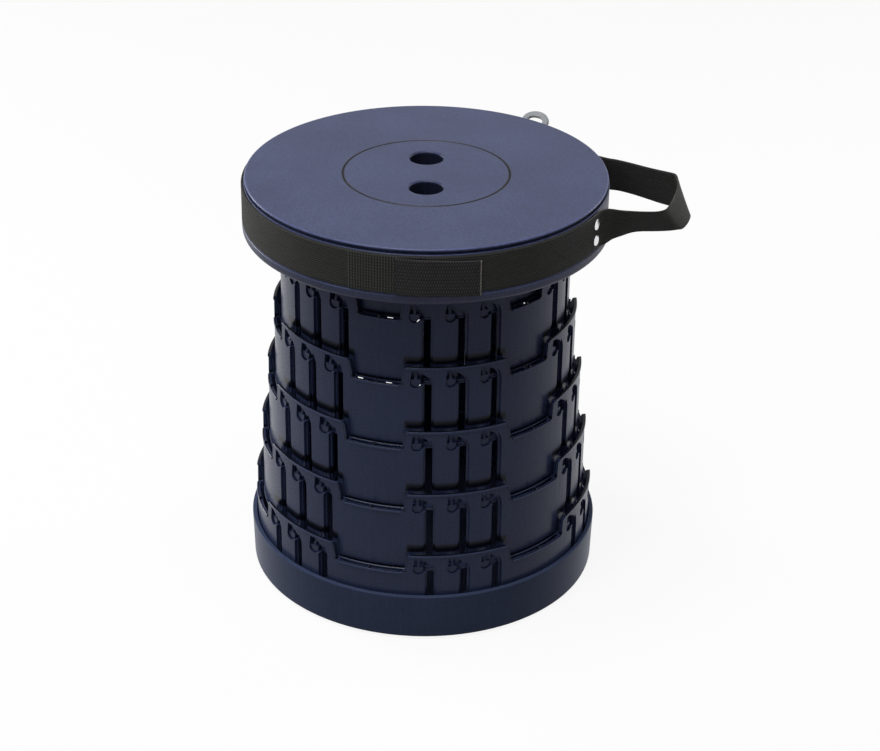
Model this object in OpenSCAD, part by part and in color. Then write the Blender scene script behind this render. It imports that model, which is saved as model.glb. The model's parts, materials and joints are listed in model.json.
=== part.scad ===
// Collapsible telescopic stool, drawn open.
// Six nested rings lock under one another and carry a round seat. The lowest ring is screwed into a
// base tray, the seat caps the innermost ring, and a webbing strap around the seat forms a side handle.
// The origin is the middle of the underside, on the floor; the front of the stool faces -Y.

/* [Rings] */
// Outer radius of the innermost ring, over its lips
inner_r = 98; // [80:0.5:120]
// Wall of a ring from its bore to its lips
ring_wall = 4.6; // [4:0.1:6]
// Running gap between the lips of a ring and the bore of the next one
ring_gap = 0.6; // [0.4:0.05:1.2]
// How far the lips stand proud of the ring's body
lip_out = 0.6; // [0.3:0.05:1]
// Height of the lip along a ring's top edge
lip_h = 1.6; // [1:0.1:3]
// Height of the bead around a ring's foot
foot_bead = 1.2; // [0.8:0.1:2]
// How far the wall is cut back inside its top edge
edge_relief = 2.2; // [1:0.1:2.8]
// Height over which the cut runs out
relief_h = 6; // [4:0.5:10]
// Rise from one ring to the next when open
stage_h = 46.7; // [40:0.1:60]
// How deep a ring's foot sits below the top edge of the next ring
foot_depth = 15.4; // [12:0.1:20]
// Step between the feet of neighbouring rings when folded
foot_step = 1.1; // [0.6:0.1:2]

/* [Battlements] */
// Direction of the first group of windows, turned from the front
group_angle = 11.6; // [0:0.1:60]
// Depth of the dips between the groups
edge_drop = 13.8; // [8:0.1:16]
// Left end of a group at the foot of its step, from the group's middle
group_left = 37.7; // [34:0.1:40]
// Right end of a group at the foot of its step, from the group's middle
group_right = 40.7; // [36:0.1:42]
// Slope of the left step
slope_left = 0.8; // [0.2:0.1:2]
// Slope of the right step
slope_right = 1.7; // [0.2:0.1:3]
// Rounding of the steps' top corners
step_top_r = 2.5; // [1:0.1:4]
// Rounding of the steps' bottom corners
step_low_r = 1.5; // [0.5:0.1:3]

/* [Windows] */
// Distance between neighbouring windows of a group
window_pitch = 24.25; // [23:0.1:26]
// Radius of the round notch that a peg rests in
notch_r = 3.75; // [3:0.05:4.5]
// Depth of the notch below the ring's top edge
notch_down = 15.7; // [14:0.1:18]
// Height of the post between the notch and the slot
post_h = 2.3; // [1.5:0.1:3]
// Near side of the slot, from the notch's middle
slot_in = 6; // [5.5:0.1:7]
// Far side of the slot, from the notch's middle
slot_out = 10.9; // [10:0.1:12]
// Radius of the window's arch
arch_r = 11.4; // [11:0.1:12.5]
// Height of the arch's middle above the notch
arch_up = 1; // [0:0.1:2]
// Height of the flat top above the notch
flat_up = 13.05; // [12:0.05:14]
// Band left under the slot at the ring's foot
foot_band = 3; // [2:0.1:5]
// Depth of the channel that frames the slot
channel_deep = 2.3; // [1.5:0.1:2.6]
// Margin of the channel around the slot
channel_rim = 1.7; // [0.8:0.1:2]
// How far the channel flares on each side over the next ring
flare = 3; // [1:0.1:4]
// Depth of the flare
flare_deep = 0.6; // [0.3:0.1:1]
// Skin left outside the peg's groove
skin = 1.2; // [0.8:0.05:1.6]

/* [Pegs] */
// Half width of a peg's head
peg_half = 3.4; // [2.8:0.05:3.6]
// Height of a peg's head
peg_h = 5.2; // [4:0.1:7]
// Play between a peg's face and its groove
peg_play = 0.3; // [0.2:0.05:0.6]
// Height of the gusset above the head
gusset_h = 6.4; // [4:0.1:8]
// Thickness of the gusset
gusset_t = 2; // [1:0.1:3]

/* [Base] */
// How far the pads stand below the tray
pad_proud = 1.5; // [1:0.1:3]
// Top of the tray's floor
floor_z = 5.9; // [5:0.1:9]
// Thickness of the tray's floor
floor_t = 2.4; // [2:0.1:4]
// Height of the collar above the tray's floor
collar_h = 30.2; // [24:0.1:34]
// Wall of the collar
collar_wall = 3.35; // [2.8:0.05:5]
// Play between the lowest ring and the collar
collar_play = 0.15; // [0.1:0.05:0.3]
// Radius of the outer pads
pad_r = 9; // [6:0.1:12]
// How far the outer pads' circle is inside the collar
pad_in = 18.15; // [18:0.05:34]
// Radius of the middle pad
mid_pad_r = 14; // [10:0.1:20]

/* [Seat] */
// Thickness of the seat's plate
seat_t = 3.2; // [2.8:0.1:5]
// Gap that stays under the plate when the stool is folded
fold_gap = 0.7; // [0.4:0.1:2]
// Play between the skirt and the lowest ring's lip, when the stool is folded
skirt_play = 0.4; // [0.3:0.05:1]
// Wall of the skirt behind the strap
skirt_wall = 2.6; // [2.2:0.1:4]
// How far the bulge under the strap stands out of the skirt
bulge_out = 1.5; // [0.8:0.1:3]
// How far the seat's top lip stands back from the skirt
lip_back = 0.6; // [0.2:0.1:1.2]
// Depth of the groove under the lip
groove_in = 2.5; // [1.5:0.1:3]
// Radius of the centre cap
cap_r = 57.8; // [50:0.1:60]
// Seam around the centre cap
cap_seam = 0.3; // [0.2:0.05:0.6]
// Thickness of the centre cap
cap_t = 2.4; // [2:0.1:3]
// Radius of a finger hole
finger_r = 11.75; // [10:0.05:13]
// Distance of a finger hole from the middle
finger_y = 26; // [22:0.1:30]
// How far the circle of seat screws is inside the innermost ring
screw_in = 5.4; // [4:0.1:9]

/* [Webbing] */
// Thickness of the strap
band_t = 1.5; // [1:0.1:2]
// Width of the strap
band_w = 27.3; // [24:0.1:28]
// How far the strap's top edge is below the seat's top
band_drop = 4; // [3.8:0.1:6]
// Left end of the loop patch, turned from the front
loop_start = -23; // [-30:0.5:-12]
// Left end of the closing flap
flap_start = -8.7; // [-12:0.1:-4]
// Right end of the closing flap
flap_end = 16.4; // [10:0.1:30]
// Thickness of the closing flap
flap_t = 1; // [0.8:0.1:2]
// Thickness of the hook patch and of the loop patch
patch_t = 0.4; // [0.3:0.05:1]
// Radius of a rivet's head
rivet_r = 3.9; // [2:0.05:4]
// Direction of the front rivets, turned from the front
rivet_angle = 63.3; // [60:0.1:66]
// Direction of the rear rivets, turned from the front
rear_angle = 116.7; // [114:0.1:118]
// Direction of the hanging ring, turned from the front
hang_angle = 144.3; // [130:0.1:150]
// Tilt of the hanging ring
hang_tilt = 38; // [20:1:60]

/* [Hidden] */

// One millimetre, so that each small size below grows with the stool
mm = inner_r / 98;
rings = 5;
stage_travel = stage_h - foot_step;
ring_h = stage_h + foot_depth;
seat_under = top_z(1) + stage_travel + fold_gap;
seat_top = seat_under + seat_t;
band_high = seat_top - band_drop;
band_low = band_high - band_w;
collar_top = floor_z + collar_h;
collar_bore = lip_r(5) + collar_play;
collar_r = collar_bore + collar_wall;
pad_circle = collar_bore - pad_in;
seat_screw_circle = bore_r(0) - screw_in;
clip_r = cap_r - 5.6 * mm;
skirt_bore = lip_r(5) + skirt_play;
strap_seat_r = skirt_bore + skirt_wall;
bulge_r = strap_seat_r + bulge_out;
seat_r = strap_seat_r - lip_back;
groove_r = seat_r - groove_in;
// The window's outline is centred on the window's direction
window_mid = (slot_out - notch_r) / 2;
foot_y = notch_down - ring_h;
strap_r = strap_seat_r + 0.1 * mm;
strap_mid = strap_r + band_t / 2;
strap_out = strap_r + band_t;
loop_r = strap_out + 0.05 * mm;
hook_r = loop_r + patch_t + 0.05 * mm;
flap_over = max(hook_r + patch_t, bulge_r) + 0.1 * mm + flap_t / 2;
flap_sewn = max(strap_out, bulge_r) + 0.1 * mm + flap_t / 2;
skirt_low = collar_top + rings * stage_travel + 0.9 * mm;
hang_r = strap_out + 8.7 * mm;
hang_z = band_high - 1.7 * mm;
hang_bar = [hang_r - 5.6 * mm * cos(hang_tilt), hang_z - 5.6 * mm * sin(hang_tilt)];

function lip_r(k) = inner_r + k * (ring_wall + ring_gap);
function body_r(k) = lip_r(k) - lip_out;
function bore_r(k) = lip_r(k) - ring_wall;
function foot_z(k) = floor_z + (rings - k) * stage_h;
function top_z(k) = foot_z(k) + ring_h;
function ring_angle(k, across) = across / lip_r(k) * 180 / PI;
function window_angle(k, g, j) = group_angle + g * 60 + ring_angle(k, (j - 1) * window_pitch);
function dip_half(k) = 30 - ring_angle(k, group_left + group_right) / 2;
function dip_angle(k, g) = group_angle + g * 60 + ring_angle(k, group_right) + dip_half(k);
function arc(x, y, r, a0, a1, n) =
    [for (i = [0:n]) let (a = a0 + (a1 - a0) * i / n) [x + r * cos(a), y + r * sin(a)]];
function seat_curve(share, size) = size * (1 - sqrt(1 - share * share));

// Pushes a flat outline, drawn as [across, up], out from one radius to another at an angle from the front
module stand(angle, r0, r1)
    rotate([0, 0, angle]) rotate([90, 0, 0]) translate([0, 0, r0]) linear_extrude(r1 - r0) children();

// A flat rib in the plane of a radius, drawn as [radius, up]
module rib(angle, across, t)
    rotate([0, 0, angle]) translate([across, 0, 0]) rotate([90, 0, -90])
        linear_extrude(t, center = true) children();

// A round bar or hole along a radius
module bar(angle, up, r0, r1, r)
    rotate([0, 0, angle]) translate([0, 0, up]) rotate([90, 0, 0]) translate([0, 0, r0])
        cylinder(r = r, h = r1 - r0, $fn = 48);

// Outline of the through window, from the middle of its notch
module window_outline()
    polygon(concat(
        arc(0, notch_r, notch_r, 180, 360 - asin((notch_r - post_h) / notch_r), 8),
        [[slot_in, post_h], [slot_in, foot_y + foot_band], [slot_out, foot_y + foot_band]],
        arc(slot_out - arch_r, arch_up, arch_r, 0, 75.8, 7),
        [[1.8 * mm, flat_up], [-2.7 * mm, flat_up], [-notch_r, notch_r + 0.4 * mm]]));

// Outline of the shallow channel that frames the slot
module channel_outline()
    polygon(concat(
        [[slot_in - 1.3 * mm, foot_y + foot_band], [slot_out + channel_rim, foot_y + foot_band]],
        arc(slot_out - arch_r, arch_up, arch_r + channel_rim, 0, 40, 4),
        [[slot_in + 1.5 * mm, arch_up + 4 * mm], [slot_in - 1.3 * mm, arch_up]]));

// Outline of the flare at the foot of the channel, just above the next ring's edge
module flare_outline() {
    low = foot_y + foot_depth + 0.8 * mm;
    high = low + 6 * mm;
    left = slot_in - 1.3 * mm;
    right = slot_out + channel_rim;
    polygon([[left - flare, low - 4 * mm], [right + flare, low - 4 * mm], [right + flare, low],
        [right, high], [left, high], [left - flare, low]]);
}

// Outline of the groove that the pegs of the ring inside run in
module groove_outline() {
    half = peg_half + peg_play;
    polygon([[-half, foot_y - 1 * mm], [half, foot_y - 1 * mm], [half, 4 * mm], [-half, 4 * mm]]);
}

// Outline of a dip between two groups, from the middle of its low edge
module dip_outline(half) {
    lx = half + slope_right;
    rx = half + slope_left;
    top = edge_drop - step_top_r;
    polygon(concat(
        arc(-half + step_low_r, step_low_r, step_low_r, 180, 270, 4),
        arc(half - step_low_r, step_low_r, step_low_r, 270, 360, 4),
        arc(rx + step_top_r, top, step_top_r, 180, 90, 5),
        [[rx + step_top_r, edge_drop + 2 * mm], [-lx - step_top_r, edge_drop + 2 * mm]],
        arc(-lx - step_top_r, top, step_top_r, 90, 0, 5)));
}

// Section of a ring, drawn as [radius, up] from its foot
module ring_section(k, high) {
    c = 0.4 * mm;
    polygon([[bore_r(k), c], [bore_r(k) + c, 0], [lip_r(k) - c, 0], [lip_r(k), c],
        [lip_r(k), foot_bead], [body_r(k), foot_bead + c], [body_r(k), high - lip_h - c],
        [lip_r(k), high - lip_h], [lip_r(k), high - c], [lip_r(k) - c, high],
        [bore_r(k) + edge_relief + c, high], [bore_r(k) + edge_relief, high - c],
        [bore_r(k), high - relief_h]]);
}

// What is cut away inside the low edge of a dip
module dip_relief(k, g) {
    half = dip_half(k) - ring_angle(k, step_low_r);
    high = top_z(k) - edge_drop;
    over = 1 * mm;
    rotate_extrude(angle = 2 * half, start = dip_angle(k, g) - half - 90, $fn = 180)
        polygon([[bore_r(k) - over, high - relief_h * (1 + over / edge_relief)],
            [bore_r(k) + edge_relief, high - 0.8 * mm], [bore_r(k) + edge_relief, high + over],
            [bore_r(k) - over, high + over]]);
}

// Lip, nub and mould line along the low edge of a dip
module dip_edge(k, g) {
    a = dip_angle(k, g);
    half = dip_half(k) - ring_angle(k, step_low_r);
    high = top_z(k) - edge_drop;
    rotate_extrude(angle = 2 * half, start = a - half - 90, $fn = 180)
        polygon([[body_r(k) - 0.5 * mm, high - lip_h - 0.4 * mm], [body_r(k), high - lip_h - 0.4 * mm],
            [lip_r(k), high - lip_h], [lip_r(k), high - 0.4 * mm], [lip_r(k) - 0.4 * mm, high],
            [body_r(k) - 0.5 * mm, high]]);
    stand(a, body_r(k) - 1.6 * mm, lip_r(k) - 0.3 * mm)
        polygon([[-0.8 * mm, high - 1 * mm], [0.8 * mm, high - 1 * mm], [0.8 * mm, high + 1.4 * mm],
            [0.4 * mm, high + 1.8 * mm], [-0.4 * mm, high + 1.8 * mm], [-0.8 * mm, high + 1.4 * mm]]);
}

// One peg with its gusset, on the outside of ring k
module peg(k, angle) {
    face = body_r(k + 1) - skin - peg_play;
    inside = body_r(k) - 1 * mm;
    low = foot_z(k) + 0.2 * mm;
    up = low + peg_h;
    stand(angle, inside, face)
        translate([-window_mid, low])
            polygon(concat(arc(0, peg_half, peg_half, 180, 360, 8),
                [[peg_half, peg_h], [-peg_half, peg_h]]));
    rib(angle, -window_mid, gusset_t)
        polygon([[inside, up - 0.5 * mm], [face - 0.3 * mm, up - 0.5 * mm], [face - 0.3 * mm, up],
            [body_r(k) + 0.4 * mm, up + gusset_h], [inside, up + gusset_h]]);
}

module pegs(k)
    for (g = [0:5], j = [0:2])
        peg(k, window_angle(k + 1, g, j));

// A ring with its battlements, windows, channels and inside grooves
module windowed_ring(k) {
    difference() {
        union() {
            difference() {
                translate([0, 0, foot_z(k)]) rotate_extrude($fn = 180) ring_section(k, ring_h);
                for (g = [0:5])
                    stand(dip_angle(k, g), bore_r(k) - 4 * mm, lip_r(k) + 2 * mm)
                        translate([0, top_z(k) - edge_drop - 0.35 * mm])
                            dip_outline(lip_r(k) * sin(dip_half(k)));
                for (g = [0:5]) dip_relief(k, g);
            }
            for (g = [0:5]) dip_edge(k, g);
        }
        for (g = [0:5], j = [0:2]) {
            a = window_angle(k, g, j);
            up = top_z(k) - notch_down;
            stand(a, bore_r(k) - 3 * mm, lip_r(k) + 2 * mm)
                translate([-window_mid, up]) window_outline();
            stand(a, body_r(k) - channel_deep, lip_r(k) + 2 * mm)
                translate([-window_mid, up]) channel_outline();
            stand(a, body_r(k) - flare_deep, lip_r(k) + 2 * mm)
                translate([-window_mid, up]) flare_outline();
            stand(a, bore_r(k) - 3 * mm, body_r(k) - skin)
                translate([-window_mid, up]) groove_outline();
        }
    }
    if (k < rings) pegs(k);
}

module ring_1() { color("#2b3142") windowed_ring(1); }
module ring_2() { color("#2a3041") windowed_ring(2); }
module ring_3() { color("#293040") windowed_ring(3); }
module ring_4() { color("#2a3042") windowed_ring(4); }

// The lowest ring has no pegs, and takes the base screws in its foot
module ring_5() {
    color("#293041") difference() {
        windowed_ring(5);
        for (g = [0:5])
            rotate([0, 0, dip_angle(5, g)])
                translate([0, -base_screw_r(), floor_z - 1 * mm])
                    cylinder(r = 1.3 * mm, h = 9 * mm, $fn = 32);
    }
}

function base_screw_r() = (bore_r(5) + body_r(5)) / 2;

// Round floor with a collar, ribbed underneath
module base_tray() {
    under = floor_z - floor_t;
    color("#292f41") difference() {
        union() {
            rotate_extrude($fn = 180)
                polygon(concat(
                    [[0, under], [collar_bore - 8 * mm, under], [collar_bore - 8 * mm, pad_proud]],
                    arc(collar_r - 2.9 * mm, pad_proud + 2 * mm, 2 * mm, 270, 360, 5),
                    [[collar_r, collar_top - 1.2 * mm]],
                    arc(collar_r - 0.8 * mm, collar_top - 0.8 * mm, 0.8 * mm, 0, 90, 3),
                    [[collar_bore + 0.5 * mm, collar_top], [collar_bore, collar_top - 0.5 * mm],
                        [collar_bore, floor_z], [0, floor_z]]));
            for (r = [34, 62, 88])
                translate([0, 0, pad_proud])
                    rotate_extrude($fn = 180)
                        polygon([[r * mm, 0], [(r + 2) * mm, 0], [(r + 2) * mm, under - pad_proud + 0.5 * mm],
                            [r * mm, under - pad_proud + 0.5 * mm]]);
            for (i = [0:11])
                rib(i * 30, 0, 2 * mm)
                    polygon([[mid_pad_r + 1 * mm, pad_proud], [collar_bore - 7 * mm, pad_proud],
                        [collar_bore - 7 * mm, under + 0.5 * mm], [mid_pad_r + 1 * mm, under + 0.5 * mm]]);
            for (i = [0:5])
                rotate([0, 0, i * 60])
                    translate([0, -pad_circle, pad_proud])
                        cylinder(r = pad_r + 1.8 * mm, h = under - pad_proud + 0.5 * mm, $fn = 64);
            translate([0, 0, pad_proud])
                cylinder(r = mid_pad_r + 1.8 * mm, h = under - pad_proud + 0.5 * mm, $fn = 96);
        }
        for (i = [0:5])
            rotate([0, 0, i * 60])
                translate([0, -pad_circle, 0])
                    cylinder(r = pad_r + 0.15 * mm, h = under, $fn = 64);
        cylinder(r = mid_pad_r + 0.15 * mm, h = under, $fn = 96);
        for (g = [0:5])
            rotate([0, 0, dip_angle(5, g)]) translate([0, -base_screw_r(), 0]) {
                cylinder(r = 1.6 * mm, h = floor_z + 1 * mm, $fn = 32);
                cylinder(r = 2.9 * mm, h = pad_proud + 1.8 * mm, $fn = 48);
            }
    }
}

// A soft round pad that stands on the floor
module pad(r)
    rotate_extrude($fn = 96)
        polygon([[0, 0], [r - 0.6 * mm, 0], [r, 0.6 * mm], [r, floor_z - floor_t], [0, floor_z - floor_t]]);

module foot_pads()
    color("#1b1c1f") for (i = [0:5])
        rotate([0, 0, i * 60]) translate([0, -pad_circle, 0]) pad(pad_r);

// The middle pad carries the origin
module middle_pad() { color("#1b1c1f") pad(mid_pad_r); }

// A pan-headed screw that points up from its bearing face
module screw_up(shank) {
    rotate_extrude($fn = 32)
        polygon([[0, -0.9 * mm], [0.9 * mm, -0.9 * mm], [0.9 * mm, -1.6 * mm], [2 * mm, -1.6 * mm],
            [2.6 * mm, -1 * mm], [2.6 * mm, 0], [1.25 * mm, 0], [1.25 * mm, shank - 0.8 * mm],
            [0.6 * mm, shank], [0, shank]]);
}

module base_screws()
    color("#8e9096") for (g = [0:5])
        rotate([0, 0, dip_angle(5, g)])
            translate([0, -base_screw_r(), pad_proud + 1.8 * mm]) screw_up(9.4 * mm);

// The innermost ring hangs under the seat and is held to it by a flange
module seat_ring() {
    flange = seat_under - 10 * mm;
    flange_r = seat_screw_circle - 6 * mm;
    color("#2b3142") {
        difference() {
            union() {
                translate([0, 0, foot_z(0)])
                    rotate_extrude($fn = 180) ring_section(0, seat_under - foot_z(0));
                rotate_extrude($fn = 180)
                    polygon([[flange_r, flange], [bore_r(0) + 1 * mm, flange],
                        [bore_r(0) + 1 * mm, flange + 2 * mm], [flange_r, flange + 2 * mm]]);
                for (i = [0:11])
                    rib(i * 30 + 15, 0, 1.8 * mm)
                        polygon([[flange_r + 1 * mm, flange + 0.5 * mm], [bore_r(0) + 1 * mm, flange + 0.5 * mm],
                            [bore_r(0) + 1 * mm, flange - 12 * mm]]);
            }
            for (i = [0:5])
                rotate([0, 0, i * 60]) translate([0, -seat_screw_circle, flange - 1 * mm])
                    cylinder(r = 1.6 * mm, h = 4 * mm, $fn = 32);
        }
        pegs(0);
    }
}

// Plate, skirt and underside ribs of the seat, in one piece
module seat_shell() {
    ledge = seat_top - cap_t;
    opening = cap_r + cap_seam;
    boss_low = seat_under - 8 * mm;
    color("#5a607a") difference() {
        union() {
            rotate_extrude($fn = 240)
                polygon(concat(
                    [[cap_r - 3.3 * mm, ledge - 2.8 * mm], [cap_r - 3.3 * mm, ledge], [opening, ledge],
                        [opening, seat_top - 0.35 * mm], [opening + 0.35 * mm, seat_top]],
                    arc(seat_r - 1.1 * mm, seat_top - 1.1 * mm, 1.1 * mm, 90, 0, 5),
                    [[seat_r - 0.1 * mm, seat_top - 1.5 * mm], [groove_r, seat_top - 1.6 * mm],
                        [groove_r, band_high + 0.3 * mm], [strap_seat_r - 0.3 * mm, band_high + 0.3 * mm],
                        [strap_seat_r, band_high], [strap_seat_r, band_low - 0.3 * mm],
                        [bulge_r - 0.8 * mm, band_low - 0.5 * mm]],
                    arc(bulge_r - 1.5 * mm, band_low - 2.2 * mm, 1.5 * mm, 60, 0, 3),
                    arc(bulge_r - 3 * mm, skirt_low + 3 * mm, 3 * mm, 0, -80, 6),
                    [[skirt_bore + 0.4 * mm, skirt_low], [skirt_bore, skirt_low + 0.4 * mm],
                        [skirt_bore, seat_under - 2 * mm], [skirt_bore - 2 * mm, seat_under],
                        [cap_r + 3.2 * mm, seat_under], [cap_r + 2.6 * mm, ledge - 2.8 * mm]]));
            for (i = [0:11])
                rib(i * 30 + 15, 0, 1.6 * mm)
                    polygon([[cap_r + 2.2 * mm, seat_under + 0.5 * mm], [cap_r + 2.2 * mm, ledge - 2.8 * mm],
                        [cap_r + 4.2 * mm, seat_under - 6 * mm],
                        [seat_screw_circle + 2 * mm, seat_under - 6 * mm],
                        [bore_r(0) - 0.6 * mm, seat_under - 2 * mm],
                        [bore_r(0) - 0.6 * mm, seat_under + 0.5 * mm]]);
            for (i = [0:5])
                rotate([0, 0, i * 60]) translate([0, -seat_screw_circle, boss_low])
                    cylinder(r = 3.6 * mm, h = 8.5 * mm, $fn = 48);
        }
        for (i = [0:5])
            rotate([0, 0, i * 60]) translate([0, -seat_screw_circle, boss_low - 1 * mm])
                cylinder(r = 1.3 * mm, h = 8.6 * mm, $fn = 32);
        for (a = [rivet_angle, rear_angle], z = [rivet_low(), rivet_high()])
            bar(a, z, skirt_bore - 2 * mm, strap_seat_r + 3 * mm, 1.5 * mm);
    }
}

function rivet_high() = band_high - 8.1 * mm;
function rivet_low() = band_low + 7.7 * mm;

module seat_screws()
    color("#8e9096") for (i = [0:5])
        rotate([0, 0, i * 60])
            translate([0, -seat_screw_circle, seat_under - 10 * mm]) screw_up(9 * mm);

// Round cap that snaps into the seat's middle, with two finger holes
module centre_cap() {
    low = seat_top - cap_t;
    color("#5a607a") {
        difference() {
            union() {
                rotate_extrude($fn = 180)
                    polygon([[0, low], [cap_r, low], [cap_r, seat_top - 0.35 * mm],
                        [cap_r - 0.35 * mm, seat_top], [0, seat_top]]);
                rotate_extrude($fn = 180)
                    polygon([[clip_r, low - 4.6 * mm], [clip_r + 1.4 * mm, low - 4.6 * mm],
                        [clip_r + 2.7 * mm, low - 3.1 * mm], [clip_r + 2.1 * mm, low - 2.9 * mm],
                        [clip_r + 2.1 * mm, low + 0.5 * mm], [clip_r, low + 0.5 * mm]]);
            }
            for (side = [-1, 1])
                translate([0, side * finger_y, low - 1 * mm])
                    cylinder(r = finger_r + 1 * mm, h = cap_t + 2 * mm, $fn = 96);
        }
        for (side = [-1, 1])
            translate([0, side * finger_y, 0])
                rotate_extrude($fn = 96)
                    polygon(concat(
                        [[finger_r + 2 * mm, seat_top - 14 * mm], [finger_r + 2 * mm, seat_top]],
                        arc(finger_r + 1.6 * mm, seat_top - 1.6 * mm, 1.6 * mm, 90, 180, 5),
                        [[finger_r, seat_top - 14 * mm]]));
    }
}

// A thin patch around the seat between two directions, measured from the front
module patch(a0, a1, r)
    rotate_extrude(angle = a1 - a0, start = a0 - 90, $fn = 240)
        polygon([[r, band_low], [r + patch_t, band_low], [r + patch_t, band_high], [r, band_high]]);

module loop_patch() { color("#303133") patch(loop_start, -1, loop_r); }
module hook_patch() { color("#262728") patch(flap_start + 0.7, -1.2, hook_r); }

// The strap is one length of webbing: it starts under the flap, runs to the front rivets, bows out as the
// handle, lies on the seat again at the rear rivets and goes round the back. Its two edges give its route.
function around(a, r, z) = [r * sin(a), -r * cos(a), z];
function seat_run(a0, a1, z) = [for (i = [0:ceil((a1 - a0) / 3)])
    around(a0 + (a1 - a0) * i / ceil((a1 - a0) / 3), strap_mid, z)];
// Places of the free stretch that face each other across the webbing, its top edge and then its bottom edge: the
// plan for a strap that runs round the seat at 127.85, and the height above the strap's own edge
top_places = [[119.8, -48.8, -0.8], [123.2, -46.8, -1.1], [126.8, -47.3, -1.3], [131.4, -49.2, -1.3],
    [138.6, -50.6, -1.3], [146.4, -51.3, -1.3], [155, -51.1, -1.3], [160, -48.9, -1.3], [163.2, -44.8, -1.3],
    [167.2, -33.8, -1.3], [170.6, -22, -1.3], [173.2, -11, -1.3], [174.4, 0, -1.3], [174.8, 8.6, -1.3],
    [174.2, 14, -1.3], [171.4, 16.6, -1.3], [164.1, 20.6, -1.3], [155, 26, -1.3], [145, 32.9, -1.3],
    [135, 38.9, -1.3], [128.7, 41.6, -1.3]];
low_places = [[118.6, -49.9, -0.2], [122.3, -46.6, 0], [127.5, -42.4, 1.6], [133.6, -38.6, 2.3],
    [140.9, -35.3, 3.5], [147.8, -34.6, 4.2], [157, -34.6, 4.4], [165.5, -33.4, 4.2],
    [171.8, -31.2, 3.8], [176.6, -26.2, 2.2], [180.5, -18.4, 2], [183.6, -8, 1.6],
    [184.6, 0.5, 0.6], [183, 10.5, 0], [178.2, 16.4, -0.6], [172.8, 19.9, -0.9], [166.3, 24.6, -1],
    [157.8, 31.4, -0.8], [148.2, 38.9, -0.6], [138.3, 45, -0.5], [131.9, 47.2, -0.7]];
plan_mm = strap_mid / 127.85;
free_top = [for (p = top_places) [p[0] * plan_mm, p[1] * plan_mm, band_high + p[2] * mm]];
free_low = [for (p = low_places) [p[0] * plan_mm, p[1] * plan_mm, band_low + p[2] * mm]];
top_route = concat(
    seat_run(1, 56, band_high), [for (a = [59, 62, 65.2]) around(a, strap_mid, band_high - 0.6 * mm)],
    free_top, [for (a = [112, 114.3, rear_angle, 119.5]) around(a, strap_mid, band_high - 1 * mm)],
    seat_run(122, 359, band_high));
low_route = concat(
    seat_run(1, 56, band_low), [for (a = [59, 62, 65.2]) around(a, strap_mid, band_low + 0.3 * mm)],
    free_low, [for (a = [113.2, 114.9, rear_angle, 119.5]) around(a, strap_mid, band_low - 0.5 * mm)],
    seat_run(122, 359, band_low));

// The flap is sewn to the strap's start and laps over the two patches, hanging a little lower on the right
flap_stops = [for (a = [flap_start, -6, -3.5, -1, 1.5, 4, 7, 10, 13, flap_end])
    [a, a < 0 ? flap_over : a < 3 ? (flap_over + flap_sewn) / 2 : flap_sewn,
        (a - flap_start) / (flap_end - flap_start)]];
function flap_edge(z, sink) = [for (p = flap_stops) around(p[0], p[1], z - sink * p[2])];

function flat_turn(p, q) = let (d = q - p, l = norm([d[0], d[1]])) [d[1] / l, -d[0] / l, 0];
function edge_side(route, i, t) =
    flat_turn(route[max(i - 1, 0)], route[min(i + 1, len(route) - 1)]) * t / 2;

// A strip of webbing between its bottom edge and its top edge
module ribbon(low, top, t) {
    last = 4 * (len(low) - 1);
    points = [for (i = [0:len(low) - 1])
        for (p = [low[i] + edge_side(low, i, t), top[i] + edge_side(top, i, t),
            top[i] - edge_side(top, i, t), low[i] - edge_side(low, i, t)]) p];
    sides = [for (i = [0:len(low) - 2], j = [0:3])
        for (f = [[4 * i + j, 4 * i + (j + 1) % 4, 4 * i + 4 + j],
            [4 * i + (j + 1) % 4, 4 * i + 4 + (j + 1) % 4, 4 * i + 4 + j]]) f];
    ends = [[0, 2, 1], [0, 3, 2], [last, last + 1, last + 2], [last, last + 2, last + 3]];
    polyhedron(points, concat(sides, ends));
}

module carry_strap()
    color("#2c2d2f") difference() {
        ribbon(low_route, top_route, band_t);
        for (a = [rivet_angle, rear_angle], z = [rivet_low(), rivet_high()])
            bar(a, z, strap_mid - 3 * mm, strap_mid + 3 * mm, 1.5 * mm);
    }

module closing_flap()
    color("#2f3032")
        ribbon(flap_edge(band_low, 2.1 * mm), flap_edge(band_high - 0.6 * mm, 3.7 * mm), flap_t);

// A domed rivet head with its shank through the webbing and the skirt
module rivet(angle, up)
    rotate([0, 0, angle]) translate([0, 0, up]) rotate([90, 0, 0])
        rotate_extrude($fn = 48)
            polygon(concat(
                [[0, skirt_bore + 0.9 * mm], [1.4 * mm, skirt_bore + 0.9 * mm],
                    [1.4 * mm, strap_out + 0.15 * mm],
                    [rivet_r - 0.2 * mm, strap_out + 0.15 * mm]],
                [for (s = [1, 0.92, 0.8, 0.6, 0.35, 0])
                    [rivet_r * s, strap_out + 1.5 * mm - seat_curve(s, 1.1 * mm)]]));

module front_rivets() { color("silver") for (z = [rivet_low(), rivet_high()]) rivet(rivet_angle, z); }
module rear_rivets() { color("silver") for (z = [rivet_low(), rivet_high()]) rivet(rear_angle, z); }

// Short loop of webbing behind the seat, sewn around the inner bar of the hanging ring
module hang_tab()
    color("#2c2d2f") rib(hang_angle, 0, 6.4 * mm) difference() {
        union() {
            translate(hang_bar) circle(r = 4.3 * mm, $fn = 40);
            polygon([[strap_out + 0.05 * mm, hang_z - 16 * mm], [strap_out + 1.25 * mm, hang_z - 16 * mm],
                [strap_out + 1.25 * mm, hang_bar[1]], [strap_out + 0.05 * mm, hang_bar[1]]]);
        }
        translate(hang_bar) circle(r = 3.3 * mm, $fn = 40);
    }

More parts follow.
